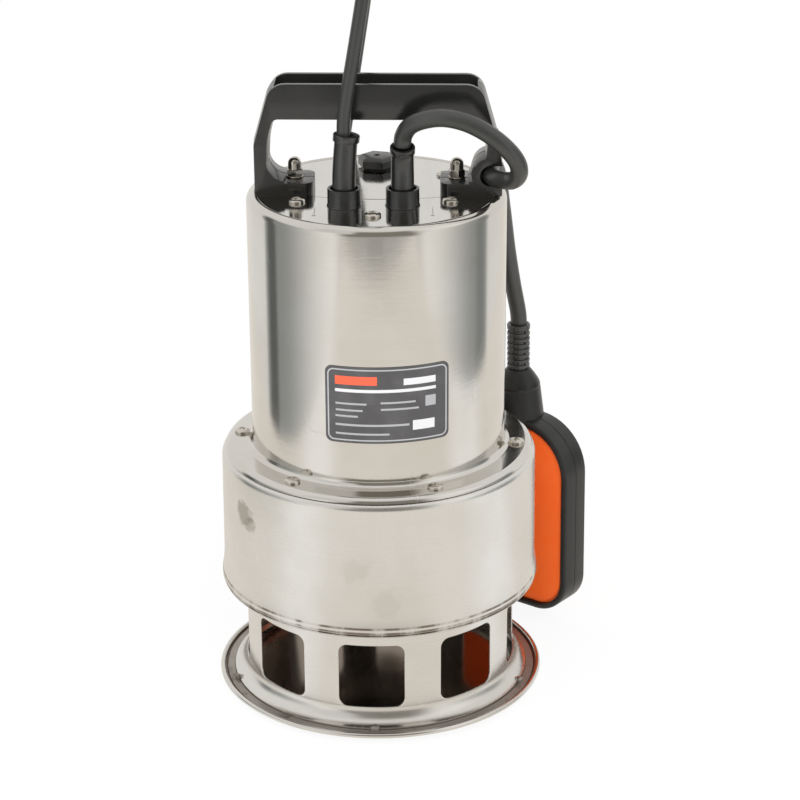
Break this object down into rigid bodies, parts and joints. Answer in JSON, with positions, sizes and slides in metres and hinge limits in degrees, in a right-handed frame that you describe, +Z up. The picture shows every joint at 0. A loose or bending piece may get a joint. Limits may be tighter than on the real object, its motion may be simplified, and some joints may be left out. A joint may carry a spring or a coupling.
{
  "type": "submersible sump pump",
  "caption": "Submersible sump pump with a steel housing, round strainer base, carrying handle, rear outlet, float switch on a cable and a power cable with plug.",
  "frame": {"origin": "on the pump's vertical axis, in the plane of the floor that its base stands on", "axes": "+Z up along the shaft, -Y towards the front with the rating plate, +Y towards the outlet, +X along the handle towards the float switch"},
  "size_m": [0.1893, 0.3264, 0.4287],
  "materials": {
    "steel": "satin brushed stainless sheet",
    "polished_steel": "mirror polished stainless sheet",
    "bright_steel": "bright stainless fasteners",
    "black_plastic": "black moulded plastic",
    "handle_plastic": "black moulded handle, fine satin grain",
    "rubber": "dark rubber",
    "cable_rubber": "dark grey rubber cable",
    "float_black": "black moulded float shell",
    "float_orange": "orange moulded plastic",
    "cast_aluminium": "cast",
    "lamination": "stacked electrical steel",
    "copper": "varnished copper windings",
    "white_plastic": "off-white plastic",
    "ceramic": "ground ceramic",
    "plate": "dark grey plate with a thin silver border"
  },
  "bodies": {
    "pump": {"base_plate": "steel", "strainer": "steel", "strainer_screws": "bright_steel", "pump_casing": "steel", "suction_plate": "black_plastic", "volute": "black_plastic", "discharge_outlet": "bright_steel", "outlet_seal": "rubber", "seal_plate": "cast_aluminium", "seal_seat": "ceramic", "lower_bracket": "cast_aluminium", "shaft_lip_seal": "rubber", "housing_gasket": "rubber", "motor_housing": "steel", "flange_screws": "bright_steel", "stator_core": "lamination", "stator_windings": "copper", "upper_bracket": "cast_aluminium", "upper_bearing_outer": "bright_steel", "lower_bearing_outer": "bright_steel", "capacitor": "white_plastic", "terminal_block": "white_plastic", "clamp_ring": "lamination", "cover_gasket": "rubber", "top_cover": "polished_steel", "cover_screws": "bright_steel", "carry_handle": "handle_plastic", "handle_studs": "bright_steel", "handle_washers": "bright_steel", "handle_cap_nuts": "bright_steel", "gland_collars": "black_plastic", "power_cable_sleeve": "rubber", "float_cable_sleeve": "rubber", "gland_lock_nuts": "black_plastic", "vent_plug": "black_plastic", "vent_plug_seal": "rubber", "rating_plate": "plate", "float_cable_loop": "cable_rubber", "power_cable": "cable_rubber", "power_cable_coil": "cable_rubber", "power_cable_tail": "cable_rubber", "mains_plug": "black_plastic", "plug_pins": "bright_steel", "coil_tie": "black_plastic"},
    "rotor": {"motor_shaft": "bright_steel", "rotor_core": "lamination", "upper_bearing_inner": "bright_steel", "lower_bearing_inner": "bright_steel", "seal_head": "rubber", "seal_bellows": "rubber", "impeller": "black_plastic", "impeller_nut": "bright_steel"},
    "float": {"float_front_shell": "float_black", "float_rear_shell": "float_black", "float_core": "float_orange", "float_boot": "rubber", "float_cable_drop": "cable_rubber", "float_switch_tube": "white_plastic", "float_microswitch": "black_plastic"},
    "switch_ball": {"float_ball": "bright_steel"}
  },
  "joints": [
    {"name": "rotor_spin", "type": "hinge", "parent": "pump", "child": "rotor", "pos_m": [0, 0, 0.12], "axis": [0, 0, 1], "continuous": true},
    {"name": "float_swing", "type": "hinge", "parent": "pump", "child": "float", "pos_m": [0.0545, 0.015, 0.2665], "axis": [0.7986, -0.6018, 0], "range_deg": [0, 115]},
    {"name": "ball_roll", "type": "slide", "parent": "float", "child": "switch_ball", "axis": [0, 0, 1], "range_m": [0, 0.0318]}
  ]
}
